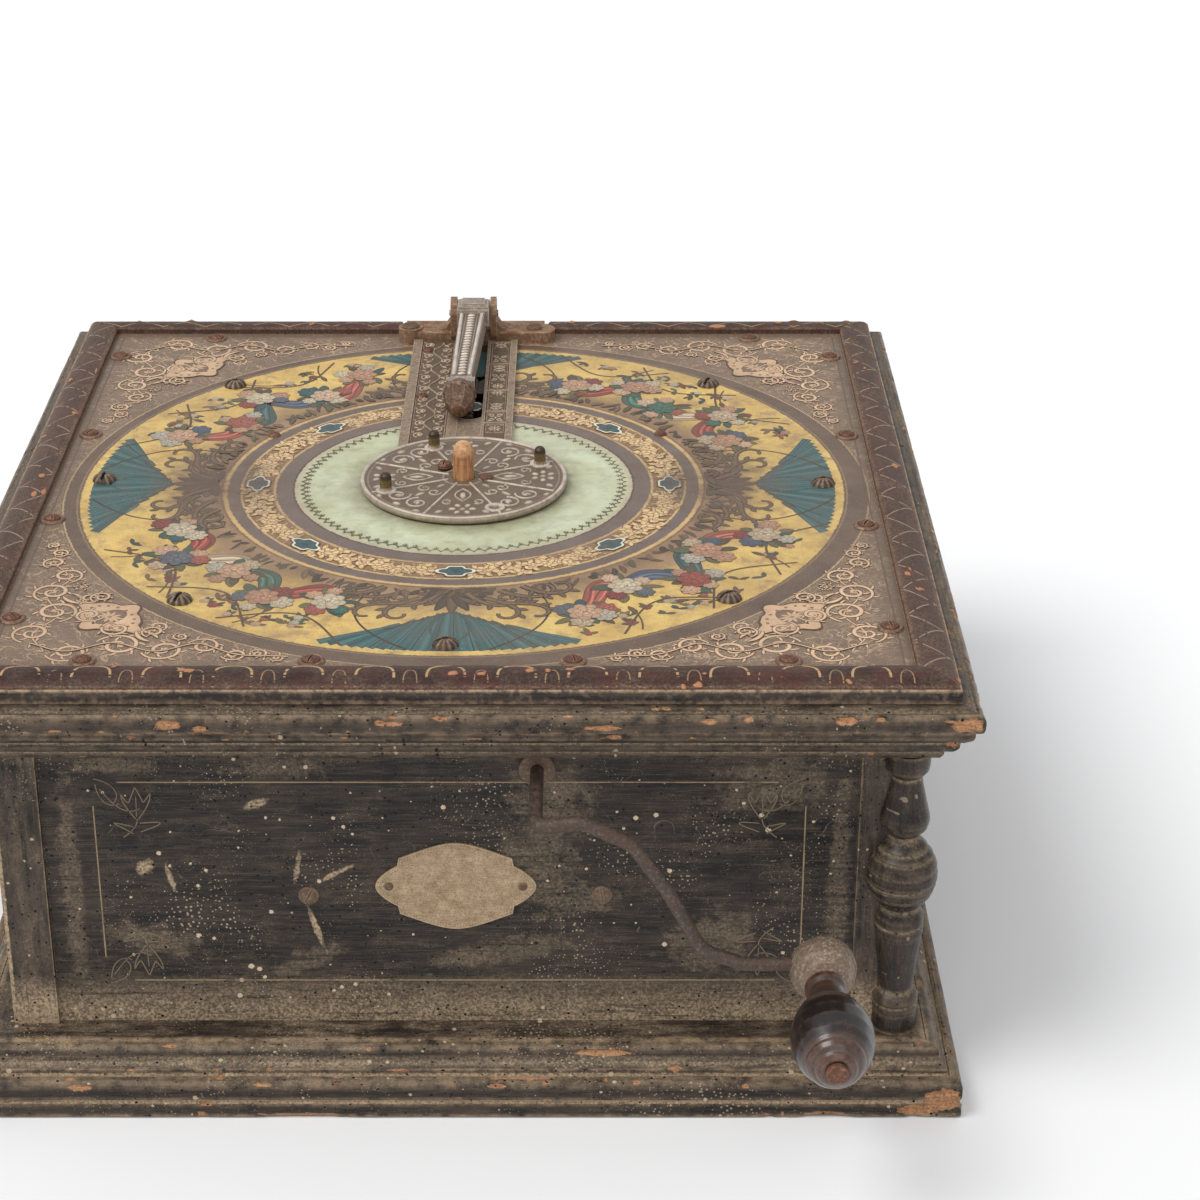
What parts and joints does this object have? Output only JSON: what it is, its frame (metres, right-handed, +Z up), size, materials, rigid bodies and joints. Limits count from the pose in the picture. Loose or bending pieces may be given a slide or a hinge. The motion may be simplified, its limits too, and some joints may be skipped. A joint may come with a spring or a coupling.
{
  "type": "table organette",
  "caption": "Square hand cranked table organ for flat punched card discs: turntable, pressure arm over the key slot, turned corner columns and a crank with a knob.",
  "frame": {"origin": "centre of the case's flat underside, on the table", "axes": "+Z up, the crank and the bare oval plate face -Y, +X to the right seen from the front"},
  "size_m": [0.4102, 0.5066, 0.2138],
  "materials": {
    "ebonised_wood": "worn black stain over brown wood, dusty in the quirks",
    "pine_inside": "bare softwood",
    "printed_top": "varnished printed sheet on wood, faded",
    "striped_edge": "dark red brown paint with thin gold lines",
    "cast_metal": "cast relief, worn plating with brown tarnish",
    "copper_screws": "copper brown rust",
    "iron_screws": "oxidised iron",
    "plated_steel": "dull plated steel",
    "worn_brass": "tarnished satin brass",
    "brass": "dull brass",
    "iron": "dark iron",
    "rusty_iron": "brown rusted iron",
    "worn_plating": "worn white plating with brown patches",
    "bronzed_knob": "dark bronze with worn copper tip",
    "black_knob": "glossy black lacquer worn to red brown",
    "pale_wood": "whittled orange brown wood",
    "felt": "dark felt",
    "bellows_cloth": "rubbed bellows cloth"
  },
  "bodies": {
    "case": {"bottom_board": "pine_inside", "plinth_ledge": "ebonised_wood", "plinth_moulding": "ebonised_wood", "corner_posts": "ebonised_wood", "front_panel": "ebonised_wood", "back_panel": "ebonised_wood", "side_panels": "ebonised_wood", "corner_columns": "ebonised_wood", "bed_moulding": "ebonised_wood", "cornice_moulding": "ebonised_wood", "top_board": "printed_top", "edge_strips": "striped_edge", "edge_washers": "plated_steel", "edge_screws": "copper_screws", "ring_screws": "iron_screws", "small_screws": "copper_screws", "panel_screws": "iron_screws", "nameplate": "worn_brass", "nameplate_nails": "iron_screws", "keyframe_plate": "cast_metal", "arm_bracket": "cast_metal", "bracket_screws": "iron_screws", "arm_hinge_pin": "plated_steel", "spindle_bush": "brass", "spindle_hanger": "iron", "crank_bush": "brass", "rear_bearing": "pine_inside", "wind_board": "pine_inside", "front_feeder_cloth": "bellows_cloth", "rear_feeder_cloth": "bellows_cloth", "reservoir_cloth": "bellows_cloth", "reservoir_springs": "plated_steel", "wind_trunk": "pine_inside", "reed_pan": "pine_inside", "reeds": "brass", "lever_axle": "plated_steel", "lever_springs": "plated_steel"},
    "crank": {"crank_rod": "rusty_iron", "crank_boss": "worn_plating", "knob_pin": "plated_steel", "crankshaft": "iron", "worm": "iron"},
    "knob": {"crank_knob": "black_knob"},
    "disc_drive": {"turntable": "cast_metal", "drive_pins": "brass", "turntable_screws": "copper_screws", "centre_peg": "pale_wood", "spindle": "plated_steel", "worm_wheel": "brass"},
    "front_rod": {"front_connecting_rod": "pine_inside"},
    "rear_rod": {"rear_connecting_rod": "pine_inside"},
    "front_feeder": {"front_feeder_board": "pine_inside"},
    "rear_feeder": {"rear_feeder_board": "pine_inside"},
    "reservoir": {"reservoir_board": "pine_inside"},
    "arm": {"pressure_arm": "cast_metal", "arm_felt": "felt", "arm_knob": "bronzed_knob"},
    "keys": {"key_levers": "iron", "pallets": "pine_inside"}
  },
  "joints": [
    {"name": "crank_turn", "type": "hinge", "parent": "case", "child": "crank", "pos_m": [0.0346, -0.23, 0.1468], "axis": [0, 1, 0], "continuous": true},
    {"name": "knob_spin", "type": "hinge", "parent": "crank", "child": "knob", "pos_m": [0.1448, -0.268, 0.0841], "axis": [0, 1, 0], "continuous": true},
    {"name": "disc_turn", "type": "hinge", "parent": "case", "child": "disc_drive", "pos_m": [0, -0.0039, 0.19], "axis": [0, 0, 1], "continuous": true},
    {"name": "front_rod_pivot", "type": "hinge", "parent": "crank", "child": "front_rod", "pos_m": [0.0346, -0.085, 0.1558], "axis": [0, 1, 0], "continuous": true},
    {"name": "rear_rod_pivot", "type": "hinge", "parent": "crank", "child": "rear_rod", "pos_m": [0.0346, 0.085, 0.1378], "axis": [0, 1, 0], "continuous": true},
    {"name": "front_feeder_hinge", "type": "hinge", "parent": "case", "child": "front_feeder", "pos_m": [-0.15, -0.083, 0.052], "axis": [0, 1, 0], "range_deg": [0, 5.58], "deforming": ["front_feeder_cloth"]},
    {"name": "rear_feeder_hinge", "type": "hinge", "parent": "case", "child": "rear_feeder", "pos_m": [-0.15, 0.083, 0.052], "axis": [0, 1, 0], "range_deg": [-5.58, 0], "deforming": ["rear_feeder_cloth"]},
    {"name": "reservoir_hinge", "type": "hinge", "parent": "case", "child": "reservoir", "pos_m": [-0.15, -0.055, 0.1015], "axis": [0, 1, 0], "range_deg": [-3, 0], "deforming": ["reservoir_cloth", "reservoir_springs"]},
    {"name": "arm_lift", "type": "hinge", "parent": "case", "child": "arm", "pos_m": [-0.0015, 0.1735, 0.205], "axis": [-1, 0, 0], "range_deg": [0, 100]},
    {"name": "key_bank", "type": "hinge", "parent": "case", "child": "keys", "pos_m": [-0.075, 0.1185, 0.1726], "axis": [0, 1, 0], "range_deg": [0, 1.6], "stiffness_Nm_per_rad": 0.8, "springref_deg": -6.88, "deforming": ["lever_springs"]}
  ],
  "couplings": [
    {"joint": "disc_turn", "follows": "crank_turn", "ratio": -0.027778},
    {"joint": "front_rod_pivot", "follows": "crank_turn", "ratio": -1},
    {"joint": "rear_rod_pivot", "follows": "crank_turn", "ratio": -1}
  ]
}
